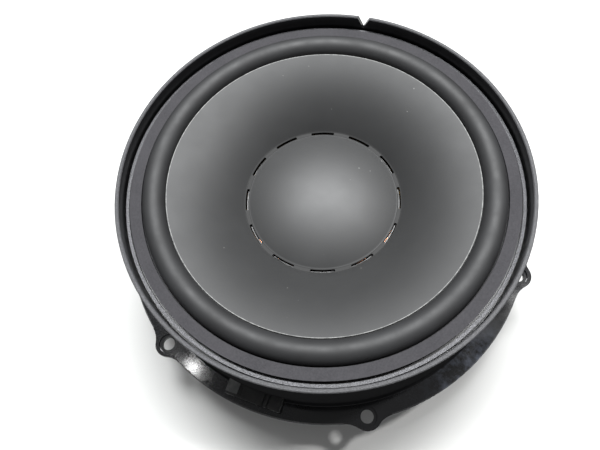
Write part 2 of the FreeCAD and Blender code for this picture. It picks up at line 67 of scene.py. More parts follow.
# Sizes that the CAD model has, in mm and degrees
FLOOR_Z = -31.0
ROLL_IN, ROLL_OUT, ROLL_Z, ROLL_RISE, RUBBER = 77.0, 88.2, 46.8, 5.5, 0.8
CONE_EDGE = (76.7, 47.6)
CONE_FOOT = (40.6, 26.9)
CONE_CURVE = 82.0
CONE_T = 0.8
DOME_FOOT, DOME_Z = 38.7, 36.6
CLAMP_Z, CLAMP_OUT, LEDGE_Z = 45.3, 94.5, 44.5
SLOTS, SLOT_START, SLOT_SPAN = 12, 18.7, 18.0
SLOT_IN, SLOT_OUT, SLOT_CORNER = 38.95, 40.35, 0.5
SPIDER_Z, SPIDER_CLOTH, SPIDER_WAVE = 10.4, 0.5, 1.2
SPIDER_FIRST, SPIDER_PITCH, SPIDER_WAVES = 42.6, 3.6, 5
NECK_IN, NECK_TOP, SHELF_IN, SHELF_OUT = 40.24, 13.2, 64.0, 69.7
GASKET_IN, GASKET_OUT, GASKET_LOW, GASKET_TOP = 98.5, 103.0, -1.0, 1.6
LEAD_START_R, LEAD_START_Z, LEAD_START_ANGLE = 40.6, 17.5, 8.0
TAG_X, TAG_SHIFT, TAG_Y, TAG_Z = 5.2, 0.8, -88.2, 5.9
VENT_R, SCREEN_Z = 8.0, -29.2

# Regions with paint of their own, as (low, high) in mm: radii R, heights Z, places X and Y
BAND_R, BAND_Z = (94.8, 97.2), (44.6, 45.8)
RIM_R, RIM_Z = (97.8, 100.4), (52.4, 53.4)
WALL_R, WALL_Z = (99.2, 101.9), (3.06, 52.1)
FLANGE_Z = (1.6, 3.2)
CHANNEL_R, CHANNEL_Z = (92.5, 98.95), (30.0, 34.0)
SMEAR_X, SMEAR_Y = (79.0, 102.0), (-70.0, -34.0)
PAD_X, PAD_Z = (-8.8, -8.7), (9.7, 10.1)
SLOT_CREASE = (SLOT_IN - 0.4, SLOT_OUT + 0.4)
CUT_EDGE = (CONE_EDGE[0] - 0.5, CONE_EDGE[0] - 0.35)
DOME_FADE = (DOME_FOOT - 0.2, CONE_FOOT[0] - 0.1)
CONE_FADE = (CONE_FOOT[0] + 0.4, CONE_EDGE[0] - 0.7)


def make_camera():
    """Looks down, tipped forward, rolled about its line of sight and turned about +Z."""
    data = bpy.data.cameras.new("camera")
    data.sensor_width = CAMERA_SENSOR
    data.lens = CAMERA_LENS
    data.clip_start = 0.01
    data.dof.use_dof = False
    camera = bpy.data.objects.new("camera", data)
    bpy.context.scene.collection.objects.link(camera)
    aim = (
        Matrix.Rotation(math.radians(CAMERA_YAW), 4, "Z")
        @ Matrix.Rotation(math.radians(CAMERA_TILT), 4, "X")
        @ Matrix.Rotation(math.radians(CAMERA_ROLL), 4, "Z")
    )
    camera.matrix_world = Matrix.Translation(CAMERA_PLACE) @ aim
    bpy.context.scene.camera = camera


# ---------------------------------------------------------------- materials


class Paint:
    """A material and short ways to add nodes to it."""

    def __init__(self, name, colour, roughness, metallic=0.0, specular=0.5):
        self.material = bpy.data.materials.new(name)
        self.material.use_nodes = True
        self.tree = self.material.node_tree
        self.shader = self.tree.nodes["Principled BSDF"]
        self.set("Base Color", (*colour, 1.0))
        self.set("Roughness", roughness)
        self.set("Metallic", metallic)
        self.set("Specular IOR Level", specular)
        self.place = self.add("ShaderNodeTexCoord").outputs["Object"]
        self.height = None

    def set(self, socket, value):
        if isinstance(value, bpy.types.NodeSocket):
            self.tree.links.new(value, self.shader.inputs[socket])
        else:
            self.shader.inputs[socket].default_value = value

    def add(self, kind, **settings):
        node = self.tree.nodes.new(kind)
        for key, value in settings.items():
            setattr(node, key, value)
        return node

    def join(self, node, socket, value):
        if isinstance(value, bpy.types.NodeSocket):
            self.tree.links.new(value, node.inputs[socket])
        else:
            node.inputs[socket].default_value = value

    def math(self, operation, a, b=0.0):
        node = self.add("ShaderNodeMath", operation=operation)
        self.join(node, 0, a)
        self.join(node, 1, b)
        return node.outputs[0]

    def stretched(self, scale):
        node = self.add("ShaderNodeMapping")
        self.join(node, "Vector", self.place)
        node.inputs["Scale"].default_value = scale
        return node.outputs[0]

    def noise(self, scale, detail=3.0, rough=0.55, place=None):
        node = self.add("ShaderNodeTexNoise")
        self.join(node, "Vector", place or self.place)
        self.join(node, "Scale", scale)
        self.join(node, "Detail", detail)
        self.join(node, "Roughness", rough)
        return node.outputs["Fac"]

    def cells(self, scale):
        node = self.add("ShaderNodeTexVoronoi")
        self.join(node, "Vector", self.place)
        self.join(node, "Scale", scale)
        return node.outputs["Distance"]

    def level(self, value, low, high, out_low=0.0, out_high=1.0):
        node = self.add("ShaderNodeMapRange", clamp=True)
        self.join(node, "Value", value)
        for key, number in (
            ("From Min", low), ("From Max", high), ("To Min", out_low), ("To Max", out_high),
        ):
            self.join(node, key, number)
        return node.outputs["Result"]

    def mix(self, share, a, b):
        node = self.add("ShaderNodeMix", data_type="RGBA")
        self.join(node, "Factor", share)
        for socket, value in ((6, a), (7, b)):
            if isinstance(value, bpy.types.NodeSocket):
                self.tree.links.new(value, node.inputs[socket])
            else:
                node.inputs[socket].default_value = (*value, 1.0)
        return node.outputs[2]

    def axis(self, name):
        node = self.add("ShaderNodeSeparateXYZ")
        self.join(node, 0, self.place)
        return node.outputs[name]

    def radius(self):
        """Distance from the driver's axis, in metres."""
        x, y = self.axis("X"), self.axis("Y")
        squares = self.math("ADD", self.math("MULTIPLY", x, x), self.math("MULTIPLY", y, y))
        return self.math("SQRT", squares)

    def across(self, value, span, out_low=0.0, out_high=1.0):
        """Goes from out_low to out_high over a span in mm."""
        return self.level(value, span[0] * MM, span[1] * MM, out_low, out_high)

    def between(self, value, span, soft):
        """1 inside a span in mm, 0 outside, with edges that are soft for so many mm each way."""
        up = self.across(value, (span[0] - soft, span[0] + soft))
        down = self.across(value, (span[1] - soft, span[1] + soft), 1.0, 0.0)
        return self.math("MULTIPLY", up, down)

    def bump(self, height, depth, strength=1.0):
        """Adds height in metres of real depth, over what was added before."""
        node = self.add("ShaderNodeBump")
        self.join(node, "Height", height)
        self.join(node, "Distance", depth)
        self.join(node, "Strength", strength)
        if self.height is not None:
            self.join(node, "Normal", self.height)
        self.height = node.outputs["Normal"]
        self.set("Normal", self.height)


def basket_regions(paint):
    """Masks for the ledge's band, the rim, the outer wall, the flange's front and the inner channel."""
    radius, height = paint.radius(), paint.axis("Z")

    def region(radii, radius_soft, heights, height_soft):
        return paint.math(
            "MULTIPLY",
            paint.between(radius, radii, radius_soft),
            paint.between(height, heights, height_soft),
        )

    band = region(BAND_R, 0.1, BAND_Z, 0.2)
    rim = region(RIM_R, 0.2, RIM_Z, 0.2)
    wall = region(WALL_R, 0.2, WALL_Z, 0.04)
    front = paint.between(height, FLANGE_Z, 0.4)
    channel = paint.math(
        "MULTIPLY",
        paint.between(radius, CHANNEL_R, 0.1),
        paint.across(height, CHANNEL_Z, 0.0, 0.5),
    )
    return band, rim, wall, front, channel


def flange_dust(paint, front):
    """Masks for clouds of fine grit on the flange, and for one smeared patch that is partly a smudge and
    partly painted reflection.
    """
    dust = paint.level(paint.noise(38.0, 6.0, 0.65), 0.45, 0.75)
    grit = paint.level(paint.noise(900.0, 2.0), 0.5, 0.7)
    sprinkle = paint.math("MULTIPLY", paint.math("MULTIPLY", dust, grit), front)
    patch = paint.math(
        "MULTIPLY",
        paint.between(paint.axis("X"), SMEAR_X, 7.0),
        paint.between(paint.axis("Y"), SMEAR_Y, 8.0),
    )
    clouds = paint.level(paint.noise(160.0, 6.0, 0.7), 0.4, 0.7)
    smudge_and_reflection = paint.math("MULTIPLY", paint.math("MULTIPLY", patch, clouds), front)
    return sprinkle, smudge_and_reflection


def basket_paint():
    """Moulded black: matt collar, glossy flange painted a little lighter as painted reflection, and
    speckled greys on the inner band and the rim that are partly texture and partly painted sheen.
    """
    paint = Paint("basket_black", (0.008, 0.008, 0.0085), 0.3)
    band, rim, wall, front, channel = basket_regions(paint)
    # The band and the rim top: rough texture there, and their lighter colour below is partly painted sheen.
    wear_and_sheen = paint.math("MAXIMUM", band, rim)
    sprinkle, smudge_and_reflection = flange_dust(paint, front)

    grain = paint.level(paint.noise(520.0, 4.0, 0.65), 0.3, 0.7)
    matt = paint.mix(grain, (0.0095, 0.0095, 0.0099), (0.0145, 0.0145, 0.0151))
    black = paint.mix(wall, (0.0065, 0.0065, 0.007), matt)
    # The flange's front face is painted a little lighter than the collar: painted reflection of the room in
    # the glossy black.
    black = paint.mix(front, black, (0.0155, 0.0155, 0.0162))
    plain = paint.mix(paint.math("MULTIPLY", sprinkle, 0.6), black, (0.06, 0.066, 0.08))
    # A pale bluish patch on the flange: partly a smudge, partly painted reflection.
    plain = paint.mix(smudge_and_reflection, plain, (0.13, 0.145, 0.185))
    # Speckled greys on the band and the rim: partly their rough texture, partly painted sheen and glints of
    # overhead light on these upward faces.
    speck = paint.level(paint.noise(2100.0, 3.0, 0.7), 0.42, 0.66)
    band_grey = paint.mix(speck, (0.01, 0.01, 0.012), (0.15, 0.15, 0.162))
    rim_grey = paint.mix(speck, (0.03, 0.03, 0.032), (0.075, 0.075, 0.08))
    paint.set("Base Color", paint.mix(wear_and_sheen, plain, paint.mix(band, rim_grey, band_grey)))

    gloss = paint.level(paint.noise(60.0, 4.0), 0.3, 0.75, 0.05, 0.14)
    dull = paint.math("MAXIMUM", paint.math("MAXIMUM", wear_and_sheen, wall), channel)
    rough = paint.add("ShaderNodeMix", data_type="FLOAT")
    paint.join(rough, 0, dull)
    paint.join(rough, 2, gloss)
    paint.join(rough, 3, 0.55)
    paint.set("Roughness", rough.outputs[0])
    # The matt wall has no sheen, even where it is seen at a shallow angle
    plain_shine = paint.level(wall, 0.0, 1.0, 0.5, 0.0)
    shine = paint.math("MULTIPLY", plain_shine, paint.level(rim, 0.0, 1.0, 1.0, 0.7))
    paint.set("Specular IOR Level", shine)
    paint.bump(paint.noise(240.0, 2.0), 0.00002, 0.3)
    texture = paint.math("MULTIPLY", paint.noise(2300.0, 2.0), wear_and_sheen)
    paint.bump(texture, 0.00014, 0.9)
    return paint.material


def cone_paint():
    """Satin filled polypropylene with a faint mottle and a few specks of dust."""
    paint = Paint("cone_grey", (0.025, 0.025, 0.025), 0.5)
    radius = paint.radius()
    dome = paint.across(radius, DOME_FADE, 1.0, 0.0)
    crease = paint.between(radius, SLOT_CREASE, 0.1)
    cut_edge_and_highlight = paint.across(radius, CUT_EDGE)

    mottle = paint.level(paint.noise(55.0, 5.0, 0.6), 0.3, 0.7)
    body = paint.mix(mottle, (0.0145, 0.0148, 0.015), (0.0175, 0.0178, 0.018))
    speck = paint.level(paint.cells(150.0), 0.0, 0.045, 1.0, 0.0)
    rare = paint.level(paint.noise(23.0, 1.0), 0.53, 0.6)
    dusty = paint.mix(paint.math("MULTIPLY", speck, rare), body, (0.4, 0.4, 0.38))
    # The crease between the slots gets one flat tone, set as painted shade for the recess.
    shaded = paint.mix(crease, dusty, (0.022, 0.022, 0.022))
    # A light line round the cone's outer edge: partly paler cut material, partly painted highlight, broken
    # into dots by noise.
    line_breaks = paint.level(paint.noise(420.0, 3.0, 0.7), 0.35, 0.65, 0.25, 1.0)
    paint.set("Base Color", paint.mix(paint.math("MULTIPLY", cut_edge_and_highlight, line_breaks), shaded, (0.2, 0.2, 0.195)))

    fade = paint.across(radius, CONE_FADE, 0.54, 0.36)
    shine = paint.math("MULTIPLY", fade, paint.level(dome, 0.0, 1.0, 1.0, 1.32))
    paint.set("Specular IOR Level", paint.math("MULTIPLY", shine, paint.level(crease, 0.0, 1.0, 1.0, 0.2)))
    rough = paint.level(paint.noise(90.0, 4.0), 0.3, 0.7, 0.5, 0.535)
    paint.set("Roughness", paint.math("ADD", rough, paint.math("MULTIPLY", dome, 0.05)))
    paint.bump(paint.noise(1900.0, 3.0), 0.000035, 0.5)
    paint.bump(paint.noise(30.0, 2.0), 0.0002, 0.12)
    return paint.material


def rubber_paint():
    """Moulded rubber with a soft bloom."""
    paint = Paint("roll_rubber", (0.02, 0.02, 0.021), 0.6, specular=0.42)
    bloom = paint.level(paint.noise(45.0, 5.0, 0.6), 0.35, 0.75)
    paint.set("Base Color", paint.mix(bloom, (0.0115, 0.0115, 0.012), (0.018, 0.0185, 0.0195)))
    paint.set("Roughness", paint.level(paint.noise(120.0, 3.0), 0.3, 0.7, 0.56, 0.66))
    paint.bump(paint.noise(1500.0, 3.0), 0.00003, 0.5)
    return paint.material


def board_paint():
    """Matt pressed board with short fibres."""
    paint = Paint("ring_board_grey", (0.06, 0.058, 0.064), 0.85, specular=0.22)
    fibre = paint.level(paint.noise(1300.0, 4.0, 0.7), 0.3, 0.7)
    cloud = paint.level(paint.noise(70.0, 4.0), 0.3, 0.7)
    deep = paint.mix(cloud, (0.024, 0.0235, 0.026), (0.032, 0.031, 0.034))
    paint.set("Base Color", paint.mix(paint.math("MULTIPLY", fibre, 0.5), deep, (0.058, 0.056, 0.061)))
    paint.bump(fibre, 0.00006, 0.7)
    return paint.material


def foam_paint():
    """Black foam with open pores."""
    paint = Paint("gasket_foam_black", (0.03, 0.03, 0.032), 0.95, specular=0.2)
    pores = paint.level(paint.cells(1700.0), 0.1, 0.55)
    paint.set("Base Color", paint.mix(pores, (0.012, 0.012, 0.013), (0.04, 0.04, 0.043)))
    paint.bump(pores, 0.0003, 0.9)
    return paint.material


def housing_paint():
    """Black moulding with light wear, and its raised pad pale: painted light on the pad's top face, with
    scuffs.
    """
    paint = Paint("housing_black", (0.02, 0.02, 0.02), 0.5)
    wear = paint.level(paint.noise(160.0, 5.0, 0.65), 0.45, 0.8)
    body = paint.mix(wear, (0.014, 0.014, 0.014), (0.036, 0.037, 0.034))
    pad = paint.math(
        "MULTIPLY",
        paint.across(paint.axis("X"), PAD_X, 1.0, 0.0),
        paint.across(paint.axis("Z"), PAD_Z),
    )
    # The raised pad's top is painted pale: partly painted light, partly scuffs.
    pad_light_and_scuffs = paint.mix(wear, (0.11, 0.113, 0.11), (0.28, 0.285, 0.27))
    paint.set("Base Color", paint.mix(pad, body, pad_light_and_scuffs))
    paint.set("Roughness", paint.level(paint.noise(300.0, 3.0), 0.3, 0.7, 0.42, 0.6))
    paint.bump(paint.noise(1600.0, 3.0), 0.00004, 0.6)
    return paint.material


def metal_paint(name, colour, roughness, grain=(300.0, 300.0, 300.0), depth=0.00002):
    """Bare or plated metal, with its grain stretched by the three scales."""
    paint = Paint(name, colour, roughness, metallic=1.0)
    place = paint.stretched(grain)
    lines = paint.noise(1.0, 4.0, 0.6, place)
    cloud = paint.level(paint.noise(80.0, 4.0), 0.3, 0.7)
    dark = tuple(channel * 0.88 for channel in colour)
    paint.set("Base Color", paint.mix(cloud, dark, colour))
    paint.set("Roughness", paint.level(lines, 0.3, 0.7, roughness * 0.8, roughness * 1.25))
    paint.bump(lines, depth, 0.6)
    return paint.material


def turned_paint(name, colour, roughness):
    """Lathe-turned metal: fine rings about the axis."""
    paint = Paint(name, colour, roughness, metallic=1.0)
    rings = paint.math("SINE", paint.math("MULTIPLY", paint.radius(), 16000.0))
    cloud = paint.level(paint.noise(60.0, 4.0), 0.3, 0.7)
    dark = tuple(channel * 0.85 for channel in colour)
    paint.set("Base Color", paint.mix(cloud, dark, colour))
    paint.bump(rings, 0.00001, 0.5)
    return paint.material


def coated_steel_paint():
    """Black coat on steel, with a slight orange peel."""
    paint = Paint("cup_black_coat", (0.02, 0.02, 0.021), 0.36)
    cloud = paint.level(paint.noise(40.0, 5.0), 0.35, 0.75)
    paint.set("Base Color", paint.mix(cloud, (0.016, 0.016, 0.017), (0.03, 0.031, 0.033)))
    paint.set("Roughness", paint.level(paint.noise(70.0, 4.0), 0.3, 0.7, 0.28, 0.42))
    paint.bump(paint.noise(700.0, 2.0), 0.00004, 0.5)
    return paint.material


def cloth_paint():
    """Resin-dipped cotton with a fine square weave."""
    paint = Paint("spider_cloth_tan", (0.5, 0.38, 0.17), 0.7, specular=0.35)
    x, y = paint.axis("X"), paint.axis("Y")
    warp = paint.math("SINE", paint.math("MULTIPLY", x, 9000.0))
    weft = paint.math("SINE", paint.math("MULTIPLY", y, 9000.0))
    weave = paint.level(paint.math("MULTIPLY", warp, weft), -1.0, 1.0)
    cloud = paint.level(paint.noise(60.0, 4.0), 0.3, 0.7)
    resin = paint.mix(cloud, (0.4, 0.27, 0.1), (0.56, 0.42, 0.2))
    paint.set("Base Color", paint.mix(weave, resin, (0.3, 0.19, 0.07)))
    paint.bump(weave, 0.00015, 0.8)
    return paint.material


def paper_paint(name, light, dark):
    """Paper or board with fibres in two tones."""
    paint = Paint(name, light, 0.75, specular=0.3)
    fibre = paint.level(paint.noise(800.0, 5.0, 0.7), 0.3, 0.7)
    paint.set("Base Color", paint.mix(fibre, dark, light))
    paint.bump(fibre, 0.00005, 0.6)
    return paint.material


def wire_paint():
    """Lacquered copper wire, one turn above another, with painted shade between the turns."""
    paint = Paint("coil_copper", (0.6, 0.23, 0.09), 0.3, metallic=1.0)
    turns = paint.math("ABSOLUTE", paint.math("SINE", paint.math("MULTIPLY", paint.axis("Z"), 5200.0)))
    # Darker in the grooves between turns: painted shade.
    paint.set("Base Color", paint.mix(turns, (0.2, 0.06, 0.025), (0.66, 0.27, 0.11)))
    paint.bump(turns, 0.0002, 0.9)
    return paint.material


# ---------------------------------------------------------------- meshes


def new_piece(name, vertices, faces, material, sharp):
    """A smooth-shaded mesh with its material and slot. Edges over sharp degrees stay sharp."""
    mesh = bpy.data.meshes.new(name)
    mesh.from_pydata([tuple(v) for v in vertices], [], faces)
    mesh.update()
    mesh.shade_smooth()
    mesh.set_sharp_from_angle(angle=math.radians(sharp))
    piece = bpy.data.objects.new(name, mesh)
    bpy.context.scene.collection.objects.link(piece)
    mesh.materials.append(material)
    return piece


def lathe(name, section, material, steps, sharp):
    """Closed section of (radius, height) points in mm, spun about the axis."""
    count = len(section)
    ring = np.array(section, float) * MM
    angles = np.arange(steps) * TURN / steps
    vertices = np.empty((steps, count, 3))
    vertices[:, :, 0] = np.cos(angles)[:, None] * ring[None, :, 0]
    vertices[:, :, 1] = np.sin(angles)[:, None] * ring[None, :, 0]
    vertices[:, :, 2] = ring[None, :, 1]
    faces = []
    for step in range(steps):
        ahead = (step + 1) % steps
        for index in range(count):
            following = (index + 1) % count
            faces.append(
                (step * count + index, ahead * count + index,
                 ahead * count + following, step * count + following)
            )
    return new_piece(name, vertices.reshape(-1, 3), faces, material, sharp)


def arc(centre, radii, start, stop, steps):
    """Points on an ellipse arc, angles in degrees from the outward direction."""
    return [
        (
            centre[0] + radii[0] * math.cos(math.radians(start + (stop - start) * k / steps)),
            centre[1] + radii[1] * math.sin(math.radians(start + (stop - start) * k / steps)),
        )
        for k in range(steps + 1)
    ]


def weigh(piece):
    """Bakes the piece's placement into its points and reads the points out; nothing more is done with them.
    """
    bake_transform(piece)
    places = np.empty(len(piece.data.vertices) * 3, np.float32)
    piece.data.vertices.foreach_get("co", places)


def cone_height(radius):
    """Height of the flared cone's front face."""
    dx, dz = CONE_EDGE[0] - CONE_FOOT[0], CONE_EDGE[1] - CONE_FOOT[1]
    chord = math.hypot(dx, dz)
    reach = math.sqrt(CONE_CURVE**2 - (chord / 2) ** 2) / chord
    centre_x = (CONE_EDGE[0] + CONE_FOOT[0]) / 2 + dz * reach
    centre_z = (CONE_EDGE[1] + CONE_FOOT[1]) / 2 - dx * reach
    return centre_z + math.sqrt(CONE_CURVE**2 - (radius - centre_x) ** 2)


def dome_height(radius):
    """Height of the dome's front face, a part of a ball."""
    rise = DOME_Z - CONE_FOOT[1]
    ball = (DOME_FOOT**2 + rise**2) / (2 * rise)
    return DOME_Z - ball + math.sqrt(ball**2 - radius**2)


def make_surround():
    """Half roll of rubber, with a lip under the cone and a flat edge under the clamp ring."""
    middle = (ROLL_IN + ROLL_OUT) / 2
    half = (ROLL_OUT - ROLL_IN) / 2
    outside = arc((middle, ROLL_Z), (half, ROLL_RISE), 180, 0, 40)
    inside = arc((middle, ROLL_Z), (half - RUBBER, ROLL_RISE - RUBBER), 0, 180, 32)
    lip = [72.4, 73.4, 74.6, 75.6, 76.6]
    top_lip = [(r, cone_height(r) - CONE_T - 0.02) for r in lip]
    under_lip = [(r, cone_height(r) - CONE_T - RUBBER) for r in reversed(lip)]
    section = [
        *top_lip,
        *outside,
        (ROLL_OUT + 0.06, ROLL_Z - 0.7),
        (ROLL_OUT + 0.3, CLAMP_Z - 0.04),
        (ROLL_OUT + 2, CLAMP_Z - 0.02),
        (CLAMP_OUT - 0.1, CLAMP_Z - 0.02),
        (CLAMP_OUT - 0.02, CLAMP_Z - 0.2),
        (CLAMP_OUT - 0.02, LEDGE_Z + 0.15),
        (CLAMP_OUT - 0.2, LEDGE_Z + 0.02),
        (ROLL_OUT - RUBBER + 0.25, LEDGE_Z + 0.02),
        *inside,
        (ROLL_IN + RUBBER, CONE_EDGE[1] - CONE_T - RUBBER + 0.15),
        (ROLL_IN + RUBBER - 0.2, CONE_EDGE[1] - CONE_T - RUBBER),
        *under_lip,
    ]
    piece = lathe("surround_roll", section, rubber_paint(), 400, 40.0)
    weigh(piece)
    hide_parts("surround")


def slot_edges(radius):
    """Half-width in degrees of a slot's opening at a radius, with rounded ends."""
    middle = (SLOT_IN + SLOT_OUT) / 2
    half = (SLOT_OUT - SLOT_IN) / 2
    beyond = max(0.0, abs(radius - middle) - (half - SLOT_CORNER))
    inset = SLOT_CORNER - math.sqrt(max(0.0, SLOT_CORNER**2 - beyond**2))
    return SLOT_SPAN / 2 - math.degrees(inset / middle)


# Columns of points round the cone, for each slot and its web, and how many of them span the slot
PER_SLOT, OPEN_COLUMNS = 30, 16
COLUMNS = SLOTS * PER_SLOT


def cone_rows():
    """Rows of (radius, height, slot's half-width) from the dome outwards, and the slot's first and last."""
    dome = [2, 4, 7, 10, 13, 16, 19, 22, 25, 28, 30.5, 33, 35, 36.6, 37.7, DOME_FOOT]
    rounds = [0.0, 0.04, 0.12, 0.26, SLOT_CORNER]
    slot = [SLOT_IN + step for step in rounds] + [SLOT_OUT - step for step in reversed(rounds)]
    flare = np.linspace(CONE_FOOT[0] + 0.5, CONE_EDGE[0] - 0.5, 26)
    web = SLOT_SPAN / 2
    rows = [(r, dome_height(r), web) for r in dome]
    rows += [(r, CONE_FOOT[1], slot_edges(r)) for r in slot]
    rows += [(CONE_FOOT[0], CONE_FOOT[1] + 0.05, web)]
    rows += [(r, cone_height(r), web) for r in flare]
    rows += [(CONE_EDGE[0] - 0.12, CONE_EDGE[1] - 0.04, web)]
    return rows, len(dome), len(dome) + len(slot) - 1


def column_angle(step, edge):
    """Angle of a column in degrees, where the slot's half-width is edge."""
    sector, local = divmod(step, PER_SLOT)
    pitch = 360.0 / SLOTS
    if local <= OPEN_COLUMNS:
        share = local / OPEN_COLUMNS
        offset = -edge + 2 * edge * share
    else:
        share = (local - OPEN_COLUMNS) / (PER_SLOT - OPEN_COLUMNS)
        offset = edge + (pitch - 2 * edge) * share
    return SLOT_START + pitch * sector + offset


def on_circle(radius, degrees, height):
    """A point in metres from a radius and a height in mm."""
    angle = math.radians(degrees)
    return tuple(MM * c for c in (radius * math.cos(angle), radius * math.sin(angle), height))


class Skin:
    """The cone's points in columns, on its front face and then on its back face, and its faces."""

    def __init__(self):
        self.rows, self.first_slot, self.last_slot = cone_rows()
        self.count = len(self.rows)
        self.points, self.faces = [], []
        for sink in (0.0, CONE_T):
            for step in range(COLUMNS):
                for radius, height, edge in self.rows:
                    self.points.append(on_circle(radius, column_angle(step, edge), height - sink))
        self.behind = COLUMNS * self.count

    def at(self, step, index):
        """A point of the front face. Its twin on the back face is self.behind further on."""
        return (step % COLUMNS) * self.count + index

    def is_open(self, step, index):
        """Whether the face beyond this column and row lies in a slot."""
        in_slot = self.first_slot <= index < self.last_slot
        return in_slot and (step % PER_SLOT) < OPEN_COLUMNS

    def add_sheets(self):
        """Front and back faces, less the slots."""
        for step in range(COLUMNS):
            for index in range(self.count - 1):
                if self.is_open(step, index):
                    continue
                a, b = self.at(step, index), self.at(step + 1, index)
                c, d = self.at(step + 1, index + 1), self.at(step, index + 1)
                self.faces.append((a, d, c, b))
                self.faces.append(tuple(point + self.behind for point in (a, b, c, d)))

    def add_slot_walls(self):
        """The slots' sides and ends, between the front face and the back face."""
        for step in range(COLUMNS):
            for index in range(self.first_slot, self.last_slot):
                if not self.is_open(step, index):
                    continue
                borders = (
                    (self.is_open(step - 1, index), (step, index + 1), (step, index)),
                    (self.is_open(step + 1, index), (step + 1, index), (step + 1, index + 1)),
                    (self.is_open(step, index - 1), (step, index), (step + 1, index)),
                    (self.is_open(step, index + 1), (step + 1, index + 1), (step, index + 1)),
                )
                for goes_on, one, two in borders:
                    if not goes_on:
                        p, q = self.at(*one), self.at(*two)
                        self.faces.append((p, q, q + self.behind, p + self.behind))

    def add_rim(self):
        """Outer edge with its two corners rounded off."""
        edge = len(self.points)
        for step in range(COLUMNS):
            degrees = column_angle(step, SLOT_SPAN / 2)
            for sink in (0.2, CONE_T - 0.2):
                self.points.append(on_circle(CONE_EDGE[0], degrees, CONE_EDGE[1] - sink))
        for step in range(COLUMNS):
            ahead = (step + 1) % COLUMNS
            upper, lower = edge + 2 * step, edge + 2 * step + 1
            upper_next, lower_next = edge + 2 * ahead, edge + 2 * ahead + 1
            rim, rim_next = self.at(step, self.count - 1), self.at(ahead, self.count - 1)
            self.faces.append((rim, upper, upper_next, rim_next))
            self.faces.append((upper, lower, lower_next, upper_next))
            self.faces.append((lower, rim + self.behind, rim_next + self.behind, lower_next))

    def add_crown(self):
        """The dome's middle, on both faces."""
        for shift, sink, flip in ((0, 0.0, False), (self.behind, CONE_T, True)):
            crown = len(self.points)
            self.points.append((0.0, 0.0, (DOME_Z - sink) * MM))
            for step in range(COLUMNS):
                a, b = self.at(step, 0) + shift, self.at(step + 1, 0) + shift
                self.faces.append((crown, b, a) if flip else (crown, a, b))


def make_cone():
    """Cone and dome in one skin with two faces, and slots with rounded ends."""
    skin = Skin()
    skin.add_sheets()
    skin.add_slot_walls()
    skin.add_rim()
    skin.add_crown()
    piece = new_piece("cone_skin", skin.points, skin.faces, cone_paint(), 30.0)
    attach(piece, "diaphragm")
    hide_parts("cone")


def spider_waves():
    """Upper and lower face of the corrugations, as lists of (radius, height)."""
    low, high = [], []
    nudge = SPIDER_CLOTH / 2
    steps = SPIDER_WAVES * 12
    for k in range(steps + 1):
        radius = SPIDER_FIRST + SPIDER_PITCH * SPIDER_WAVES * k / steps
        phase = TURN * (radius - SPIDER_FIRST) / SPIDER_PITCH
        fade = min(1.0, k / 5, (steps - k) / 5)
        tilt = math.atan(math.cos(phase) * SPIDER_WAVE * TURN / SPIDER_PITCH * fade)
        height = SPIDER_Z + nudge - math.sin(phase) * SPIDER_WAVE * 0.92 * fade
        high.append((radius + math.sin(tilt) * nudge, height + math.cos(tilt) * nudge))
        low.append((radius - math.sin(tilt) * nudge, height - math.cos(tilt) * nudge))
    return high, low


def make_spider():
    """Pressed cloth disc with a turned-up neck on the coil and a flat edge on its ring."""
    high, low = spider_waves()
    neck = [
        (NECK_IN, SPIDER_Z + 0.6),
        (NECK_IN, NECK_TOP),
        (40.5, NECK_TOP + 0.1),
        (40.7, NECK_TOP - 0.1),
        (40.75, SPIDER_Z + 1.2),
        (41.2, SPIDER_Z + SPIDER_CLOTH + 0.1),
    ]
    edge = [
        (SHELF_IN, SPIDER_Z + SPIDER_CLOTH),
        (SHELF_OUT, SPIDER_Z + SPIDER_CLOTH),
        (SHELF_OUT, SPIDER_Z + 0.02),
        (SHELF_IN, SPIDER_Z + 0.02),
    ]
    foot = [(41.0, SPIDER_Z), (40.4, SPIDER_Z + 0.1)]
    section = [*neck, *high, *edge, *reversed(low), *foot]
    piece = lathe("spider_cloth", section, cloth_paint(), 300, 60.0)
    weigh(piece)
    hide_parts("spider")


def make_gasket():
    """Foam ring with a soft lower edge, in the flange's groove."""
    inner, outer, high, soft = GASKET_IN + 0.05, GASKET_OUT - 0.05, GASKET_TOP - 0.05, 0.35
    section = [
        (inner, high),
        (inner, GASKET_LOW + soft),
        *arc((inner + soft, GASKET_LOW + soft), (soft, soft), 180, 270, 5)[1:],
        *arc((outer - soft, GASKET_LOW + soft), (soft, soft), 270, 360, 5),
        (outer, high),
    ]
    piece = lathe("gasket_ring", section[::-1], foam_paint(), 300, 50.0)
    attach(piece, "frame")
    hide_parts("rear_gasket")


def lead_line(side):
    """The lead's route from its pad on the coil collar to its tag, in mm."""
    angle = math.radians(-90.0 + side * LEAD_START_ANGLE)
    start = Vector((LEAD_START_R * math.cos(angle), LEAD_START_R * math.sin(angle), LEAD_START_Z))
    end = Vector((side * TAG_X - TAG_SHIFT, TAG_Y, TAG_Z))
    points = [start]
    for share, height in ((0.07, 20.2), (0.18, 23.0), (0.40, 24.4), (0.66, 22.0), (0.88, 17.0)):
        place = start + (end - start) * share
        place.z = height
        points.append(place)
    points += [Vector((end.x, TAG_Y + 0.2, 11.0)), Vector((end.x, TAG_Y, 8.0)), end]
    return points


def smooth_path(name, points):
    """Points in metres along one smooth curve over the route's points in mm."""
    curve = bpy.data.curves.new(name, "CURVE")
    curve.dimensions = "3D"
    curve.resolution_u = 16
    spline = curve.splines.new("NURBS")
    spline.points.add(len(points) - 1)
    for point, place in zip(spline.points, points):
        point.co = (*(place * MM), 1.0)
    spline.order_u = 4
    spline.use_endpoint_u = True
    holder = bpy.data.objects.new(name, curve)
    bpy.context.scene.collection.objects.link(holder)
    bpy.context.view_layer.update()
    line = bpy.data.meshes.new_from_object(holder)
    path = [v.co.copy() for v in line.vertices]
    bpy.data.objects.remove(holder)
    return path


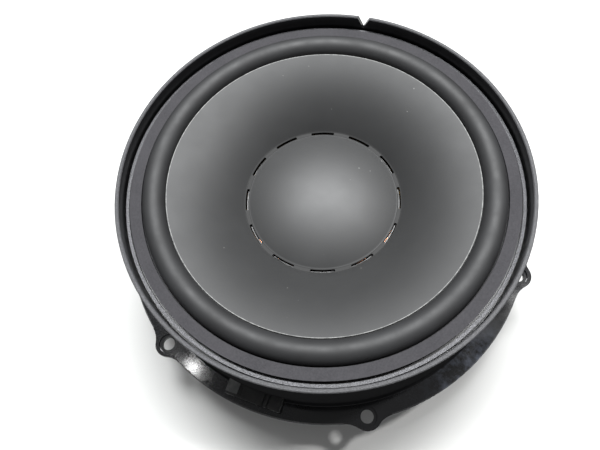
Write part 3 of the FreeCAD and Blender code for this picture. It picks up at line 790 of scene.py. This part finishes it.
def make_lead(name, side, node):
    """Braid of six strands wound round the route both ways."""
    path = resample(smooth_path(name + "_route", lead_line(side)), 150)
    vertices, faces = [], []
    around, core, ridge, twist = 18, 0.68, 0.1, 0.9
    side_way = Vector((1, 0, 0))
    for k, place in enumerate(path):
        ahead = path[min(k + 1, len(path) - 1)] - path[max(k - 1, 0)]
        along = ahead.normalized()
        up = along.cross(side_way).normalized()
        across = up.cross(along).normalized()
        for j in range(around):
            turn = TURN * j / around
            plait = abs(math.sin(3 * turn + k * twist)) * abs(math.sin(3 * turn - k * twist))
            radius = (core + ridge * plait) * MM
            vertices.append(place + across * math.cos(turn) * radius + up * math.sin(turn) * radius)
    for k in range(len(path) - 1):
        for j in range(around):
            beside = (j + 1) % around
            a, b = k * around + j, k * around + beside
            faces.append((a, a + around, b + around, b))
    faces.append(tuple(range(around)))
    faces.append(tuple((len(path) - 1) * around + j for j in reversed(range(around))))
    paint = metal_paint(name + "_braid", (0.7, 0.5, 0.36), 0.4, (900.0, 900.0, 900.0), 0.00005)
    piece = new_piece(name + "_lead", vertices, faces, paint, 60.0)
    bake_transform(piece)
    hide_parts(node)


def resample(path, count):
    """Evenly spaced points along a polyline."""
    gaps = [0.0]
    for a, b in zip(path, path[1:]):
        gaps.append(gaps[-1] + (b - a).length)
    out, index = [], 0
    for k in range(count):
        want = gaps[-1] * k / (count - 1)
        while index < len(gaps) - 2 and gaps[index + 1] < want:
            index += 1
        span = gaps[index + 1] - gaps[index] or 1.0
        out.append(path[index].lerp(path[index + 1], (want - gaps[index]) / span))
    return out


def make_vent_mesh():
    """Woven wire screen across the vent."""
    reach, pitch, wire, stride = VENT_R - 0.05, 0.9, 0.14, 0.3
    vertices, faces = [], []
    around = 6

    def wire_run(fixed, along_x, phase):
        half = math.sqrt(max(0.0, reach**2 - fixed**2))
        if half < 1.0:
            return
        steps = max(4, int(2 * half / stride))
        first = len(vertices)
        for k in range(steps + 1):
            run = -half + 2 * half * k / steps
            wave = math.cos(math.pi * run / pitch + phase * math.pi) * wire * 0.95
            for j in range(around):
                turn = TURN * j / around
                across, lift = math.cos(turn) * wire, math.sin(turn) * wire
                place = (run, fixed + across) if along_x else (fixed + across, run)
                vertices.append(tuple(MM * c for c in (*place, SCREEN_Z + wave + lift)))
        for k in range(steps):
            for j in range(around):
                beside = (j + 1) % around
                a, b = first + k * around + j, first + k * around + beside
                c, d = b + around, a + around
                faces.append((a, b, c, d) if along_x else (a, d, c, b))
        last = first + steps * around
        ends = (tuple(range(first, first + around)), tuple(range(last, last + around)))
        faces.append(ends[0][::-1] if along_x else ends[0])
        faces.append(ends[1] if along_x else ends[1][::-1])

    lines = int(reach / pitch)
    for k in range(-lines, lines + 1):
        wire_run(k * pitch, True, k % 2)
        wire_run(k * pitch, False, (k + 1) % 2)
    paint = metal_paint("screen_steel", (0.45, 0.45, 0.44), 0.35)
    piece = new_piece("vent_screen", vertices, faces, paint, 60.0)
    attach(piece, "frame")
    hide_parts("vent_mesh")


def soften(name, width):
    """Small rounded edges on a CAD node, width in mm."""
    node = nodes[name]
    bevel = node.modifiers.new("edges", "BEVEL")
    bevel.width = width * MM
    bevel.segments = 2
    bevel.limit_method = "ANGLE"
    bevel.angle_limit = math.radians(35.0)
    bevel.harden_normals = False


def dress(name, material):
    """Better material on a CAD node's own slots."""
    node = nodes[name]
    if not node.data.materials:
        node.data.materials.append(material)
    for slot in node.material_slots:
        slot.material = material


def dress_cad_nodes():
    """Materials of the nodes that keep their CAD shape."""
    brass = metal_paint("contact_tin_brass", (0.66, 0.58, 0.38), 0.3, (200.0, 2500.0, 200.0))
    dress("basket", basket_paint())
    dress("connector_housing", housing_paint())
    dress("contact_pos", brass)
    dress("contact_neg", brass)
    dress("clamp_ring", board_paint())
    dress("former", metal_paint("former_sheet", (0.13, 0.13, 0.13), 0.6, (200.0, 200.0, 2200.0)))
    dress("winding", wire_paint())
    dress("coil_collar", paper_paint("wrap_brown", (0.34, 0.2, 0.09), (0.2, 0.11, 0.045)))
    dress("lead_tabs", metal_paint("tab_tin_copper", (0.4, 0.25, 0.16), 0.55))
    dress("spider_ring", paper_paint("fibre_dark", (0.13, 0.1, 0.075), (0.07, 0.052, 0.04)))
    dress("motor_cup", coated_steel_paint())
    dress("magnet", metal_paint("nickel", (0.66, 0.65, 0.62), 0.22))
    dress("pole_disc", turned_paint("turned_steel", (0.5, 0.5, 0.49), 0.35))
    dress("copper_cap", turned_paint("bare_copper", (0.72, 0.33, 0.19), 0.3))
    dress("centre_sleeve", turned_paint("sleeve_alu", (0.65, 0.65, 0.64), 0.35))
    dress("motor_screws", metal_paint("screw_zinc", (0.5, 0.5, 0.48), 0.34))


def make_floor():
    """Wide pale floor, which the driver lies on."""
    half = 25.0
    mesh = bpy.data.meshes.new("floor")
    corners = [(-half, -half, 0), (half, -half, 0), (half, half, 0), (-half, half, 0)]
    mesh.from_pydata(corners, [], [(0, 1, 2, 3)])
    floor = bpy.data.objects.new("floor", mesh)
    floor.location = (0, 0, FLOOR_Z * MM)
    bpy.context.scene.collection.objects.link(floor)
    paint = Paint("floor_white", (0.53, 0.53, 0.518), 0.6)
    mesh.materials.append(paint.material)


def area_light(name, place, size, power, colour=(1, 1, 1)):
    """Rectangular light aimed at the driver's centre."""
    data = bpy.data.lights.new(name, "AREA")
    data.shape = "RECTANGLE"
    data.size, data.size_y = size
    data.energy = power
    data.color = colour
    light = bpy.data.objects.new(name, data)
    light.location = place
    light.rotation_euler = (-Vector(place)).to_track_quat("-Z", "Y").to_euler()
    bpy.context.scene.collection.objects.link(light)


def from_centre(azimuth, elevation, distance):
    """A place seen from the driver's centre, angles in degrees."""
    a, e = math.radians(azimuth), math.radians(elevation)
    return (
        distance * math.cos(e) * math.cos(a),
        distance * math.cos(e) * math.sin(a),
        distance * math.sin(e),
    )


def ramp(tree, value, low, high, out_low, out_high):
    """Smooth step from out_low to out_high as the value goes from low to high."""
    node = tree.nodes.new("ShaderNodeMapRange")
    node.interpolation_type = "SMOOTHSTEP"
    tree.links.new(value, node.inputs["Value"])
    for key, number in (
        ("From Min", low), ("From Max", high), ("To Min", out_low), ("To Max", out_high),
    ):
        node.inputs[key].default_value = number
    return node.outputs["Result"]


def make_sky(dim, bright, low_band):
    """Bright on the far side of the driver, dim overhead, and a low band of light all round."""
    world = bpy.data.worlds.new("studio")
    bpy.context.scene.world = world
    world.use_nodes = True
    tree = world.node_tree
    place = tree.nodes.new("ShaderNodeTexCoord").outputs["Generated"]
    dot = tree.nodes.new("ShaderNodeVectorMath")
    dot.operation = "DOT_PRODUCT"
    tree.links.new(place, dot.inputs[0])
    away = math.radians(BRIGHT_SIDE)
    dot.inputs[1].default_value = (math.cos(away), math.sin(away), 0.0)
    parts = tree.nodes.new("ShaderNodeSeparateXYZ")
    tree.links.new(place, parts.inputs[0])
    total = tree.nodes.new("ShaderNodeMath")
    total.operation = "ADD"
    tree.links.new(ramp(tree, dot.outputs["Value"], 0.15, 0.5, dim, bright), total.inputs[0])
    tree.links.new(ramp(tree, parts.outputs["Z"], 0.25, 0.6, low_band, 0.0), total.inputs[1])
    background = tree.nodes["Background"]
    background.inputs["Color"].default_value = (0.97, 0.98, 1.0, 1.0)
    tree.links.new(total.outputs["Value"], background.inputs["Strength"])


def make_lights():
    make_sky(0.2, 0.25, 0.42)
    area_light("softbox", from_centre(112.0, 69.0, 1.6), (1.0, 0.5), 62.0, (0.975, 0.99, 1.0))
    area_light("key", from_centre(40.8, 61.5, 1.59), (0.12, 0.12), 14.0)
    area_light("lamp", (-0.491, -0.027, 1.536), (0.03, 0.03), 0.3)
    bpy.context.scene.view_settings.view_transform = "Standard"


make_camera()
make_lights()
make_floor()
dress_cad_nodes()
make_surround()
make_cone()
make_spider()
make_gasket()
make_lead("pos", -1, "lead_pos")
make_lead("neg", 1, "lead_neg")
make_vent_mesh()
soften("basket", 0.25)
soften("connector_housing", 0.25)
soften("clamp_ring", 0.3)
soften("motor_screws", 0.2)
soften("centre_sleeve", 0.15)
